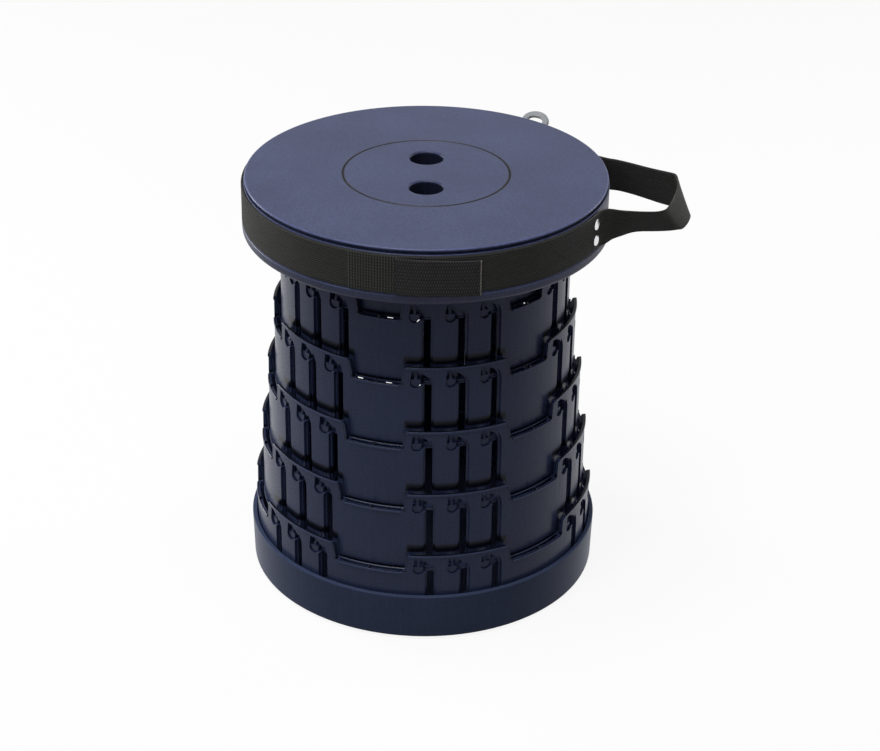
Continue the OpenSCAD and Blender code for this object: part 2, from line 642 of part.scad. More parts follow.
// Flat oval outline of the hanging ring, drawn in from both of its edges
module oval(inset)
    difference() {
        scale([11 * mm - inset, 8 * mm - inset]) circle(r = 1, $fn = 48);
        scale([6.2 * mm + inset, 3.2 * mm + inset]) circle(r = 1, $fn = 32);
    }

module hang_ring()
    color("#9a9c98") rotate([0, 0, hang_angle]) translate([0, -hang_r, hang_z]) rotate([-hang_tilt, 0, 0]) {
        linear_extrude(1.5 * mm, center = true) oval(0);
        linear_extrude(2.1 * mm, center = true) oval(0.25 * mm);
        linear_extrude(2.5 * mm, center = true) oval(0.6 * mm);
    }

base_tray();
foot_pads();
middle_pad();
base_screws();
ring_5();
ring_4();
ring_3();
ring_2();
ring_1();
seat_ring();
seat_shell();
seat_screws();
centre_cap();
carry_strap();
loop_patch();
hook_patch();
closing_flap();
front_rivets();
rear_rivets();
hang_tab();
hang_ring();
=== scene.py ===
# %% [markdown]
# # A telescopic stool
#
# This lesson dresses a round stool that folds flat. Six plastic rings lock under one another and carry a
# seat, and one length of webbing runs round the seat and bows out into a handle.
#
# The rigid parts could be modelled again here, but they arrive as a fixed frame, at the sizes at which they
# fit and slide, so they only get finishes. The webbing is soft, and a plain solid can't show that. It is
# made here, as surfaces worked out with numpy. All lengths are in metres, unless a name or a comment says
# millimetres.

# %% Load the frame
import json
import math
import bpy
import numpy as np
from mathutils import Matrix, Vector


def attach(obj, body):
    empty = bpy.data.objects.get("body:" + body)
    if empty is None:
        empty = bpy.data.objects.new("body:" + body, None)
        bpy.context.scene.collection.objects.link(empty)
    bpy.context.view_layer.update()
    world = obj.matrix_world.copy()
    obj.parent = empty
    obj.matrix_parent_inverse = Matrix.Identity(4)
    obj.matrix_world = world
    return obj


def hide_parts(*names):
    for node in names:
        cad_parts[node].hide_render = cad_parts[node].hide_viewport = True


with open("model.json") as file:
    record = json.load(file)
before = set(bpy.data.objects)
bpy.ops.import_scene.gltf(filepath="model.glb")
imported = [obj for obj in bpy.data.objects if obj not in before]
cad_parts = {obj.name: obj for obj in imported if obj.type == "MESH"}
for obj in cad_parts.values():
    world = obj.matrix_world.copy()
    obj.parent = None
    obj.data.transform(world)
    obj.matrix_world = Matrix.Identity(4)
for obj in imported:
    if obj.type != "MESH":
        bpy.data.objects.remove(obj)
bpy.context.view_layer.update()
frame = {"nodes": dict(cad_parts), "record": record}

# %% [markdown]
# ## The camera
#
# The photograph looks down at about 28.6 degrees from 1.6 m away, and a long lens keeps the rings nearly
# parallel. A camera can be placed by eye. Here the ellipses of the seat, the rings and the base gave its
# height, distance and lens, so that the render lies over the picture. The point that it looks at lies a
# little left of and below the picture's middle, so the lens is shifted by that much, and the whole picture
# leans 0.6 degrees.

# %% Camera
ELEVATION = math.radians(28.56)
DISTANCE = 1.596
FOCAL_PIXELS = 2188.6
PICTURE = (880, 751)
LOOK_AT = Vector((0, 0, 0.140))
LOOK_PIXEL = (424.25, 380.43)
LEAN = math.radians(0.6)

lens = bpy.data.cameras.new("stool_camera")
lens.sensor_fit = "HORIZONTAL"
lens.sensor_width = 36.0
lens.lens = FOCAL_PIXELS / PICTURE[0] * lens.sensor_width
lens.shift_x = (PICTURE[0] / 2 - LOOK_PIXEL[0]) / PICTURE[0]
lens.shift_y = (LOOK_PIXEL[1] - PICTURE[1] / 2) / PICTURE[0]
camera = bpy.data.objects.new("stool_camera", lens)
bpy.context.collection.objects.link(camera)
back = Vector((0, -math.cos(ELEVATION), math.sin(ELEVATION)))
turn = (-back).to_track_quat("-Z", "Y").to_matrix() @ Matrix.Rotation(LEAN, 3, "Z")
camera.matrix_world = Matrix.Translation(LOOK_AT + back * DISTANCE) @ turn.to_4x4()
bpy.context.scene.camera = camera
print("lens, mm:", round(lens.lens, 2))

# %% [markdown]
# ## Shader sums as Python sums
#
# A node tree is a sum drawn as boxes, and it could be wired box by box. A sum is easier to read and to mend,
# so the class below wraps a socket: `a * b + 1` then adds the Math nodes by itself. One function makes every
# other node, and a second class holds the few patterns that all the stool's finishes share.

# %% Sums of sockets
class Value:
    """A socket of a node tree that can be added, subtracted, multiplied and divided like a number."""

    def __init__(self, tree, socket):
        self.tree, self.socket = tree, socket

    def math(self, operation, *others):
        return add_node(self.tree, "ShaderNodeMath", {"operation": operation}, [self, *others])

    def __add__(self, other):
        return self.math("ADD", other)

    def __mul__(self, other):
        return self.math("MULTIPLY", other)

    __radd__, __rmul__ = __add__, __mul__

    def __sub__(self, other):
        return self.math("SUBTRACT", other)

    def __rsub__(self, other):
        return (self * -1) + other

    def __truediv__(self, other):
        return self.math("DIVIDE", other)

    def sin(self):
        return self.math("SINE")

    def absolute(self):
        return self.math("ABSOLUTE")

    def floor(self):
        return self.math("FLOOR")

    def off_whole(self):
        """How far the value is from the nearest whole number, from 0 to 0.5."""
        return (self - self.math("ROUND")).absolute()

    def ramp(self, low, high):
        """0 below low and 1 above high, with a straight ramp between them; low may be the larger."""
        return add_node(self.tree, "ShaderNodeMapRange", {"clamp": True}, [self, low, high, 0.0, 1.0])


def put(tree, target, given):
    """Links a Value to an input, or sets the input to a plain number, colour or vector."""
    if isinstance(given, Value):
        tree.links.new(given.socket, target)
    else:
        target.default_value = given


def add_node(tree, kind, settings=None, values=(), out=0):
    """Adds one node: its settings first, then a value or a link for each input, by place or by name."""
    node = tree.nodes.new(kind)
    for name, setting in (settings or {}).items():
        setattr(node, name, setting)
    for key, given in values.items() if isinstance(values, dict) else enumerate(values):
        put(tree, node.inputs[key], given)
    return Value(tree, node.outputs[out])

# %% Screen colours and finishes
def linear(red, green, blue):
    """A screen colour of 0 to 255 as the light amounts that shaders use. A screen's curve starts with a
    straight foot and goes on as a power of 2.4."""
    share = np.array([red, green, blue]) / 255
    light = np.where(share <= 0.04045, share / 12.92, ((share + 0.055) / 1.055) ** 2.4)
    return tuple(float(v) for v in light)


class Finish:
    """A material with its Principled shader, and short ways to the patterns that the finishes share."""

    def __init__(self, name, **numbers):
        self.material = bpy.data.materials.new(name)
        self.material.use_nodes = True
        self.tree = self.material.node_tree
        self.shader = self.tree.nodes["Principled BSDF"]
        self.dress(**numbers)

    def node(self, kind, settings=None, values=(), out=0):
        return add_node(self.tree, kind, settings, values, out)

    def place(self):
        return self.node("ShaderNodeTexCoord", out="Object")

    def parts(self, vector):
        """The three numbers of a vector."""
        split = self.node("ShaderNodeSeparateXYZ", {}, [vector]).socket.node
        return [Value(self.tree, socket) for socket in split.outputs]

    def noise(self, scale, detail=2.0, roughness=0.5, stretch=(1.0, 1.0, 1.0)):
        """Noise in the object's own place, with about scale cells to the metre."""
        where = self.node("ShaderNodeMapping", {}, {"Vector": self.place(), "Scale": stretch})
        return self.node("ShaderNodeTexNoise", {}, {"Vector": where, "Scale": scale, "Detail": detail,
                         "Roughness": roughness}, out="Fac")

    def tint(self, factor, low, high):
        """The colour low where factor is 0 and high where it is 1."""
        start = low if isinstance(low, Value) else (*low, 1.0)
        return self.node("ShaderNodeMix", {"data_type": "RGBA"},
                         {0: factor, 6: start, 7: (*high, 1.0)}, out=2)

    def relief(self, height, strength, distance):
        """A Bump node's normal: the surface seems to rise by distance where height is 1."""
        return self.node("ShaderNodeBump", {}, {"Strength": strength, "Distance": distance,
                                                "Height": height})

    def dress(self, **sockets):
        """Sets or links the shader's sockets, with an underscore for each space of their names."""
        for socket, given in sockets.items():
            put(self.tree, self.shader.inputs[socket.replace("_", " ")], given)
        return self.material


print("a screen grey of 128, as light:", round(linear(128, 128, 128)[0], 3))

# %% [markdown]
# ## Moulded plastic
#
# The rings, the seat and the base are moulded in dark blue-grey plastic. Up close it has a fine spark-eroded
# grain, specks and scuffs, which change the gloss as well as the colour. A picture of such a surface would
# need seams and one fixed scale. Noise in the object's own place has neither, and every ring cuts its own
# piece out of it. One function makes all three plastics. It takes another function that says where a part
# wears, and where painted highlights and painted shade go on it.

# %% Grain of the plastic
def grained(name, dark, light, spread, dullness, shine, grain, depth, wear_and_light=None):
    """The colour goes from dark to light with three noises: a drift of a few centimetres, specks, and scuffs
    that run up and down. It reaches its ends where their sum is spread away from its middle. Fine noise
    gives the relief. The extra function gives three masks: where the plastic is worn glossy and painted
    lighter as a highlight, where it is painted darker for dirt and for shade, and a ridge."""
    look = Finish(name, IOR=1.5, Specular_IOR_Level=shine)
    drift = look.noise(24.0, 3.0)
    fine = look.noise(grain, 2.0, 0.6)
    speck = look.noise(grain * 0.5, 2.0, 0.7)
    scuffs = look.noise(420.0, 3.0, 0.6, stretch=(1.0, 1.0, 0.06))
    marks = drift * 0.22 + speck * 0.60 + scuffs * 0.18
    colour = look.tint(marks.ramp(0.5 - spread, 0.5 + spread), dark, light)
    rough = marks * 0.16 + (dullness - 0.08)
    height = fine * 0.7 + speck * 0.4
    if wear_and_light:
        rub_and_highlight, dirt_and_shade, ridge = wear_and_light(look)
        rub_and_highlight = rub_and_highlight * scuffs.ramp(0.0, 0.60)
        # The first mask lightens the colour well past the light colour as a painted highlight, and lowers the
        # roughness. The second darkens the colour to near black, for dirt and for painted shade.
        dirt_and_shade_colour = look.tint(dirt_and_shade, colour, tuple(c * 0.12 for c in dark))
        colour = look.tint(rub_and_highlight, dirt_and_shade_colour, tuple(c * 2.4 for c in light))
        rough = rough - rub_and_highlight * 0.14
        height = height * (1 - rub_and_highlight * 0.7) + ridge
    return look.dress(Base_Color=colour, Roughness=rough, Normal=look.relief(height, depth, 0.00012))

# %% [markdown]
# ## Sizes from the frame
#
# The wear and the webbing have to meet the rigid parts exactly. Their sizes could be copied from the part's
# source, but a change there would then leave them behind. So they are measured on the parts' meshes, where
# the axis is x = y = 0 and every bore and rim is a circle of points round it.

# %% Sizes from the frame
def places_of(mesh):
    """The places of all the points of a mesh, with a row for each."""
    flat = np.empty(len(mesh.vertices) * 3)
    mesh.vertices.foreach_get("co", flat)
    return flat.reshape(-1, 3)


def measured(node):
    """A part's lowest and highest place, and its least and largest distance from the axis, which are its bore
    and its rim, to a hundredth of a millimetre."""
    x, y, z = places_of(frame["nodes"][node].data).T
    radius = np.hypot(x, y)
    sizes = {"low": z.min(), "top": z.max(), "bore": radius.min(), "rim": radius.max()}
    return {name: round(float(size), 5) for name, size in sizes.items()}


cap, patch_solid = measured("centre_cap"), measured("loop_patch")
print("the cap:", cap)

# %% [markdown]
# ## Where the rings wear and where light and shade are painted
#
# The lips of the rings slide past their neighbours, so they are polished, and they are also painted lighter
# as a highlight. The wall just above the next ring's lip lies in the shadow of the gap, and is painted
# darker as shade. That could be painted by hand on each ring. But every lip stands at a known distance from
# the axis, one wall and one gap apart, and every ring stands one stage lower, so one sum on the place finds
# all the lips and all the shaded edges.

# %% Wear and painted light of the rings
RING_GAP, DROP = 0.0006, 0.0138
GROUP_TURN, GROUP_LEFT, GROUP_RIGHT = math.radians(11.6), -0.0377, 0.0407
SIXTH = math.radians(60)

# A group of windows reaches along the wall from GROUP_LEFT to GROUP_RIGHT, measured from its middle one.
LIP_R = round(measured("ring_1")["bore"] - RING_GAP, 5)
RING_STEP = round(measured("ring_2")["bore"] - measured("ring_1")["bore"], 5)
RING_TOP = measured("ring_5")["top"]
STAGE = round(measured("ring_4")["top"] - RING_TOP, 5)
print("lips, mm from the axis:", [round((LIP_R + RING_STEP * k) * 1000, 1) for k in range(6)])
print("lowest ring's top and one stage, mm:", round(RING_TOP * 1000, 1), round(STAGE * 1000, 1))


def ring_wear_and_light(look):
    """Lighter and glossier where the distance from the axis is within 0.3 mm of a lip's radius: worn, with a
    painted highlight. Painted shade darkens the wall just above the next ring's top edge: that edge stands at
    RING_TOP and every STAGE above it in the groups of windows, and DROP lower between them. The mould line is
    a ridge half way between two groups, and it is painted a little lighter as a highlight."""
    x, y, z = look.parts(look.place())
    radius = (x * x + y * y).math("SQRT")
    # Lips lighter and glossier: partly wear, partly a painted highlight along their edges.
    lip_rub_and_highlight = (((radius - LIP_R) / RING_STEP).off_whole() * RING_STEP).ramp(0.00030, 0.00012)
    turn = (x.math("ARCTAN2", y * -1) - GROUP_TURN) / SIXTH
    across = (turn - turn.math("ROUND")) * SIXTH * (radius + RING_STEP)
    group = across.ramp(GROUP_LEFT, GROUP_LEFT + 0.0012) * across.ramp(GROUP_RIGHT, GROUP_RIGHT - 0.0020)
    rise = ((z - RING_TOP + 0.0001 + (1 - group) * DROP) / STAGE).math("FRACT") * STAGE
    # Painted shade: darkens the wall just above the next ring's lip, where the gap between the rings lies in
    # shadow.
    gap_shade = rise.ramp(0.0066, 0.0044) * group + rise.ramp(0.0026, 0.0014) * (1 - group)
    # The mould line is a ridge in the relief, and it is also painted a little lighter as a highlight.
    ridge = ((turn + 0.5).off_whole() * SIXTH * radius).ramp(0.00040, 0.00010)
    return lip_rub_and_highlight * 0.25 + ridge * 0.12, gap_shade, ridge * 1.5

# %% [markdown]
# ## Where the seat wears and where light and shade are painted
#
# Hands and clothes rub the seat's rim, which is also painted lighter as a highlight, and the shoulder under
# the strap gets a painted highlight. Dirt stays in the seam round the cap. The finger holes and the bulge
# under the strap are painted darker as shade. All of these are round, so they too are found by their
# distance from an axis: the stool's own one, or that of a finger hole.

# %% Wear and painted light of the seat
SKIRT_PLAY, SKIRT_WALL, LIP_BACK = 0.0004, 0.0026, 0.0006
SEAM, STEP_R, HOLE_R, HOLE_Y = 0.0003, 0.0530, 0.01175, 0.026
SKIRT_BORE = LIP_R + 5 * RING_STEP + SKIRT_PLAY
STRAP_SEAT_R = SKIRT_BORE + SKIRT_WALL
SEAT_R = STRAP_SEAT_R - LIP_BACK
SEAT_TOP, SEAM_R = cap["top"], cap["rim"] + SEAM / 2
STRAP_LOW, STRAP_HIGH = patch_solid["low"], patch_solid["top"]
print("seat's radius and top, mm:", round(SEAT_R * 1000, 1), round(SEAT_TOP * 1000, 1))
print("strap's edges, mm:", round(STRAP_LOW * 1000, 1), round(STRAP_HIGH * 1000, 1))


def seat_wear_and_light(look):
    """Lighter and glossier along the outer rounding of the seat's top, which is worn and has a painted
    highlight. A painted highlight on the shoulder under the strap. Dark in the seam round the cap, as dirt.
    Painted shade down in the finger holes and on the bulge under the strap. A fine step runs just inside the
    seam."""
    x, y, z = look.parts(look.place())
    radius = (x * x + y * y).math("SQRT")
    # The rim's rounding: partly wear, partly a painted highlight.
    edge = radius.ramp(SEAT_R - 0.0011, SEAT_R - 0.0008) * radius.ramp(SEAT_R, SEAT_R - 0.0003) * z.ramp(
        SEAT_TOP - 0.0013, SEAT_TOP - 0.0009)
    # A painted highlight on the shoulder just below the strap's lower edge.
    shoulder = radius.ramp(STRAP_SEAT_R, STRAP_SEAT_R + 0.0004) * (
        z - (STRAP_LOW - 0.0010)).absolute().ramp(0.0011, 0.0007)
    seam = (radius - SEAM_R).absolute().ramp(0.0013, 0.0008)
    step = (radius - STEP_R).absolute().ramp(0.0012, 0.0003) * -0.6
    hole_y = y.absolute() - HOLE_Y
    from_hole = (x * x + hole_y * hole_y).math("SQRT")
    # Painted shade down in the finger holes, below the top.
    hole = from_hole.ramp(HOLE_R + 0.00065, HOLE_R + 0.00025) * z.ramp(SEAT_TOP - 0.0007, SEAT_TOP - 0.0021)
    # Painted shade: darker on the bulge from just below the strap's lower edge downwards.
    under = z.ramp(STRAP_LOW - 0.0004, STRAP_LOW - 0.0026) * radius.ramp(SKIRT_BORE - 0.0004, SKIRT_BORE)
    return edge * 0.5 + shoulder * 0.2, seam + hole * 0.8 + under * 0.45, step

# %% [markdown]
# ## The three plastics
#
# The rings, the base and the seat come from three kinds of mould. They could share one finish, but the base
# is lighter and grainier than the rings, and the seat is duller, with coarser specks that differ more in
# colour. The same function gives all three, with other numbers.

# %% Plastics
ring_plastic = grained("ring_plastic", linear(46, 54, 82), linear(54, 63, 93), spread=0.12,
                       dullness=0.28, shine=0.13, grain=2400.0, depth=0.14, wear_and_light=ring_wear_and_light)
base_plastic = grained("base_plastic", linear(55, 64, 90), linear(64, 74, 101), spread=0.12,
                       dullness=0.34, shine=0.05, grain=1900.0, depth=0.28)
seat_plastic = grained("seat_plastic", linear(44, 51, 81), linear(63, 70, 104), spread=0.09,
                       dullness=0.42, shine=0.25, grain=1500.0, depth=0.45, wear_and_light=seat_wear_and_light)
print("plastics:", ring_plastic.name, base_plastic.name, seat_plastic.name)

# %% [markdown]
# ## Rubber, zinc and rivets
#
# The pads are matt rubber. The screws are zinc plated, with turning marks on the heads. The rivets are
# polished domes with fine scratches, and the hanging ring is smooth grey plastic. At their size one flat
# colour each would nearly do, but up close it would look like paint, so each gets one or two noises that
# move its colour and its gloss together.

# %% Small finishes
def rubber():
    look = Finish("pad_rubber", IOR=1.5)
    grit = look.noise(1800.0, 3.0, 0.7)
    return look.dress(Base_Color=look.tint(grit.ramp(0.35, 0.65), linear(22, 22, 24), linear(34, 34, 36)),
                      Roughness=grit * 0.2 + 0.72, Normal=look.relief(grit, 0.5, 0.0001))


def plated(name, dark, light, rough, scratch):
    look = Finish(name, Metallic=1.0, IOR=1.5)
    marks = look.noise(scratch, 3.0, 0.6)
    smudge = look.noise(160.0, 2.0)
    return look.dress(Base_Color=look.tint(smudge, dark, light),
                      Roughness=marks * 0.18 + smudge * 0.1 + rough, Normal=look.relief(marks, 0.15, 0.00005))


def grey_plastic():
    look = Finish("ring_grey", IOR=1.5)
    drift = look.noise(120.0, 3.0)
    return look.dress(Base_Color=look.tint(drift, linear(118, 122, 126), linear(142, 145, 148)),
                      Roughness=drift * 0.15 + 0.30, Normal=look.relief(look.noise(2600.0), 0.15, 0.00006))


pad_rubber = rubber()
screw_steel = plated("screw_steel", linear(150, 150, 154), linear(196, 196, 200), rough=0.26, scratch=1500.0)
rivet_metal = plated("rivet_metal", linear(214, 214, 216), linear(238, 238, 240), rough=0.12, scratch=900.0)
ring_grey = grey_plastic()
print("small finishes:", pad_rubber.name, screw_steel.name, rivet_metal.name, ring_grey.name)

# %% [markdown]
# ## Finishes onto the rigid parts
#
# Each rigid part knows the slot of its material. The finishes could be put on part by part. One table from
# slot to finish does it for all of them, and a part that shares a slot can't be forgotten.

# %% Finishes onto the rigid parts
FINISH_OF_SLOT = {"ring_plastic": ring_plastic, "base_plastic": base_plastic, "seat_plastic": seat_plastic,
                  "pad_rubber": pad_rubber, "screw_steel": screw_steel, "rivet_metal": rivet_metal,
                  "ring_grey": ring_grey}
for part in frame["record"]["subparts"]:
    finish = FINISH_OF_SLOT.get(part["material_slot"])
    if finish:
        for slot in frame["nodes"][part["node"]].material_slots:
            slot.material = finish

# %% [markdown]
# ## Webbing
#
# The strap is 27 mm polyester webbing: warp yarns run along it as fine ribs, and the weft crosses them. The
# loop patch has its pile in a grid, the hook patch has small hooks in shifted rows, and thread holds the flap
# down. The yarns could be modelled one by one, which would take millions of faces. As a height in the shader
# they cost nothing and still catch the light. The pattern follows each band's own UV map, which is measured
# in metres along and across the band, so the yarns keep their size on every piece.

# %% The weave
def along_and_across(look):
    uv = look.node("ShaderNodeUVMap", {"uv_map": "strap"})
    return look.parts(uv)[:2]


def stitches(along, across, rows):
    """Thread runs across the band at the given distances along it: within 0.35 mm of a row, and for 1.9 of
    every 2.8 mm across. The result is 1 on the thread and 0 beside it."""
    mask = 0.0
    for row in rows:
        near = (along - row).absolute().ramp(0.00045, 0.00028)
        mask = near * (across / 0.0028).off_whole().ramp(0.12, 0.2) + mask
    return mask


def woven(name, dark, light, rib, beat, ribbed, brick=True, sewn=(), cut=None):
    """Ribs along the band and beats across it: the height is |sin| of the place across, lifted in turn by
    the sine of the place along, which in a brick weave shifts by half a beat from one rib to the next.
    Ribbed is the share of the height that the ribs have. Sewn lists the rows of thread, and cut is where
    the band's end was sealed with heat."""
    look = Finish(name, IOR=1.45, Specular_IOR_Level=0.15, Sheen_Weight=0.03, Sheen_Roughness=0.5)
    along, across = along_and_across(look)
    yarn = (across * (math.pi / rib)).sin().absolute()
    shift = (across * (1 / rib)).floor() * math.pi if brick else 0.0
    lifted = (along * (2 * math.pi / beat) + shift).sin() * 0.5 + 0.5
    height = yarn * ribbed + lifted * (1 - ribbed)
    loose = look.noise(900.0, 3.0, 0.7)
    slub = look.noise(60.0, 3.0, 0.6, stretch=(1.0, 1.0, 6.0))
    # The colour follows the yarns' height: the crests are painted lighter and the hollows between yarns
    # darker, as painted shade, and two noises add tone that differs at random.
    lit = height * 0.6 + loose * 0.25 + slub * 0.15
    colour = look.tint(lit.ramp(0.25, 0.80), dark, light)
    relief = height + loose * 0.35
    if sewn:
        thread = stitches(along, across, sewn)
        colour = look.tint(thread, colour, linear(58, 58, 58))
        relief = relief + thread * 1.2
    if cut:
        colour = look.tint(along.ramp(cut - 0.0010, cut - 0.0005), colour, linear(150, 146, 138))
    return look.dress(Base_Color=colour, Roughness=loose * 0.15 + 0.74,
                      Normal=look.relief(relief, 0.8, 0.00035))

# %% Webbings
webbing = woven("webbing", linear(24, 24, 24), linear(73, 73, 71), rib=0.00150, beat=0.0016, ribbed=0.7)
flap_webbing = woven("flap_webbing", linear(23, 23, 25), linear(76, 74, 76), rib=0.0024, beat=0.0017,
                     ribbed=0.35, sewn=(0.0520, 0.0545), cut=0.0567)
loop_pile = woven("loop_pile", linear(22, 23, 22), linear(80, 82, 77), rib=0.0021, beat=0.0019,
                  ribbed=0.35, brick=False)
hook_tape = woven("hook_tape", linear(18, 18, 19), linear(44, 44, 45), rib=0.0012, beat=0.0012, ribbed=0.5)
print("webbings:", webbing.name, flap_webbing.name, loop_pile.name, hook_tape.name)

# %% [markdown]
# ## Straps as swept bands
#
# Each piece of webbing is one closed band: its flat section, with rounded edges, is carried along a lower
# and an upper edge line. A curve with a flat bevel, or a ribbon that is simulated as cloth, would do for a
# loose strap. This one is pulled tight on the seat and stiff in the handle, and the photograph shows both of
# its edges, so its two edges say exactly where it goes and how it leans. Rounded edges and a real thickness
# let it throw a thin shadow on the seat.

# %% The band surface
def smooth_line(points, count):
    """A smooth line through the points: cubic pieces whose slope at each point is half the step between its
    neighbours, read at equal shares of the way."""
    given = np.asarray(points, float)
    far = np.vstack([2 * given[0] - given[1], given, 2 * given[-1] - given[-2]])
    way = np.linspace(0, len(given) - 1 - 1e-9, count)
    whole = way.astype(int)
    part = (way - whole)[:, None]
    before, start, end, after = far[whole], far[whole + 1], far[whole + 2], far[whole + 3]
    bow = 2 * before - 5 * start + 4 * end - after
    twist = 3 * start - before - 3 * end + after
    return 0.5 * (2 * start + (end - before) * part + bow * part ** 2 + twist * part ** 3)


def band_section(thick, rows, steps=5):
    """The section's outline: its share across, how far it stands out, and how far its rounded edges draw in.
    Two flat faces are joined by half circles of half the thickness."""
    angle = np.linspace(-np.pi / 2, np.pi / 2, steps)
    face = np.linspace(0, 1, rows + 1)[1:-1]
    share = np.concatenate([face, np.ones(steps), face[::-1], np.zeros(steps)])
    half, push, draw = thick / 2, np.sin(angle) * thick / 2, (1 - np.cos(angle)) * thick / 2
    out = np.concatenate([np.full(len(face), -half), push, np.full(len(face), half), -push])
    inset = np.concatenate([np.zeros(len(face)), -draw, np.zeros(len(face)), draw])
    return share, out, inset


def band(name, low, high, thick, rows=12, wave=None):
    """Carries the section along two edge lines. A point's place is low + (high - low) * share, moved out by
    the section along the band's own normal, which is the cross product of the directions along and across.
    Gives the piece and its cloth's width and length."""
    middle = (low + high) / 2
    up = high - low
    out = np.cross(np.gradient(middle, axis=0), up)
    out /= np.linalg.norm(out, axis=1)[:, None]
    width = np.linalg.norm(up, axis=1)[:, None]
    share, push, inset = band_section(thick, rows)
    place = share[None, :] + inset[None, :] / width
    reach = np.concatenate([[0], np.cumsum(np.linalg.norm(np.diff(middle, axis=0), axis=1))])
    bend = wave(reach[:, None], place) if wave else 0.0
    moved = out[:, None, :] * (push + bend)[..., None]
    points = low[:, None, :] + up[:, None, :] * place[:, :, None] + moved
    stops, spots = points.shape[:2]
    begin, spot = np.arange(stops - 1)[:, None] * spots, np.arange(spots)[None, :]
    after = (spot + 1) % spots
    quads = np.stack([begin + spot, begin + after, begin + spots + after, begin + spots + spot], axis=-1)
    ends = [list(range(spots))[::-1], list(range((stops - 1) * spots, stops * spots))]
    mesh = bpy.data.meshes.new(name)
    mesh.from_pydata(points.reshape(-1, 3).tolist(), [], quads.reshape(-1, 4).tolist() + ends)
    loops = np.empty(len(mesh.loops), np.int64)
    mesh.loops.foreach_get("vertex_index", loops)
    row, column = loops // spots, loops % spots
    uv = mesh.uv_layers.new(name="strap")
    uv.data.foreach_set("uv", np.column_stack([reach[row], place[row, column] * width[row, 0]]).ravel())
    mesh.polygons.foreach_set("use_smooth", np.ones(len(mesh.polygons), bool))
    mesh.update()
    piece = bpy.data.objects.new(name, mesh)
    bpy.context.collection.objects.link(piece)
    print(name, "faces:", len(mesh.polygons), "length, mm:", round(float(reach[-1]) * 1000, 1))
    return face_outwards(piece), (float(width.mean()), float(reach[-1]))


def face_outwards(piece):
    """Turns the faces round if the piece's volume is negative. Six times the volume is the sum, over the
    triangles, of the first corner times the cross product of the other two."""
    mesh = piece.data
    mesh.calc_loop_triangles()
    corners = np.empty(len(mesh.loop_triangles) * 3, np.int32)
    mesh.loop_triangles.foreach_get("vertices", corners)
    first, second, third = places_of(mesh)[corners.reshape(-1, 3)].transpose(1, 0, 2)
    if (first * np.cross(second, third)).sum() < 0:
        mesh.flip_normals()
    return piece

# %% [markdown]
# ## The strap and its handle
#
# The strap is one length of webbing. It starts at the front under the flap, runs round to the front rivets,
# bows out as the handle, lies down again at the rear rivets and goes round the back. In the handle it leans:
# its lower edge swings wider than its upper one and folds round at the far end. It could be made of three
# pieces, but on the real stool nothing joins them, so it is one band. Its two edge lines are drawn through
# places, in millimetres, that face each other across the webbing.

# %% The strap's two edge lines
STRAP_R, STRAP_THICK = STRAP_SEAT_R + 0.00085, 0.00138

# Degrees from the front where the strap lies on the seat, where it leaves it, and where it lies there again.
LAID_FRONT, TAKE_OFF, LAID_BACK = np.linspace(0.05, 56, 20), [59, 62, 65.2], np.linspace(122, 359.95, 80)


def around(angles, radius, height):
    """Places at a radius and a height, in degrees turned from the front."""
    a = np.radians(np.asarray(angles, float))
    return np.column_stack([radius * np.sin(a), -radius * np.cos(a), np.broadcast_to(height, a.shape)])


FREE_TOP = [(119.8, -48.8, 299.5), (123.2, -46.8, 299.2), (126.8, -47.3, 299.0), (131.4, -49.2, 299.0),
            (138.6, -50.6, 299.0), (146.4, -51.3, 299.0), (155.0, -51.1, 299.0), (160.0, -48.9, 299.0),
            (163.2, -44.8, 299.0), (167.2, -33.8, 299.0), (170.6, -22.0, 299.0), (173.2, -11.0, 299.0),
            (174.4, 0.0, 299.0), (174.8, 8.6, 299.0), (174.2, 14.0, 299.0), (171.4, 16.6, 299.0),
            (164.1, 20.6, 299.0), (155.0, 26.0, 299.0), (145.0, 32.9, 299.0), (135.0, 38.9, 299.0),
            (128.7, 41.6, 299.0)]
FREE_LOW = [(118.6, -49.9, 272.8), (122.3, -46.6, 273.0), (127.5, -42.4, 274.6), (133.6, -38.6, 275.3),
            (140.9, -35.3, 276.5), (147.8, -34.6, 277.2), (157.0, -34.6, 277.4), (165.5, -33.4, 277.2),
            (171.8, -31.2, 276.8), (176.6, -26.2, 275.2), (180.5, -18.4, 275.0), (183.6, -8.0, 274.6),
            (184.6, 0.5, 273.6), (183.0, 10.5, 273.0), (178.2, 16.4, 272.4), (172.8, 19.9, 272.1),
            (166.3, 24.6, 272.0), (157.8, 31.4, 272.2), (148.2, 38.9, 272.4), (138.3, 45.0, 272.5),
            (131.9, 47.2, 272.3)]


def strap_edge(free, height, first, landing, last):
    """Round the front, through the free places, and round the back, nowhere nearer the axis than on the
    seat. First and last are how far the edge is off its height where it leaves the seat and where it lands."""
    line = smooth_line(np.vstack([
        around(LAID_FRONT, STRAP_R, height), around(TAKE_OFF, STRAP_R, height + first),
        np.array(free) / 1000, around(landing, STRAP_R, height + last),
        around(LAID_BACK, STRAP_R, height)]), 1800)
    radius = np.hypot(line[:, 0], line[:, 1])[:, None]
    line[:, :2] *= np.maximum(radius, STRAP_R) / radius
    return line


def slack(size, pitch):
    """A slow ripple out of the band: two sines along it, one about 2.4 times as fast as the other, and
    strongest at its edges."""
    def ripple(way, share):
        waves = np.sin(way * 6.283 / pitch) + 0.6 * np.sin(way * 14.9 / pitch + 1.3)
        return size * waves * (2 * share - 1) ** 2
    return ripple


print("free places on the upper and the lower edge:", len(FREE_TOP), len(FREE_LOW))

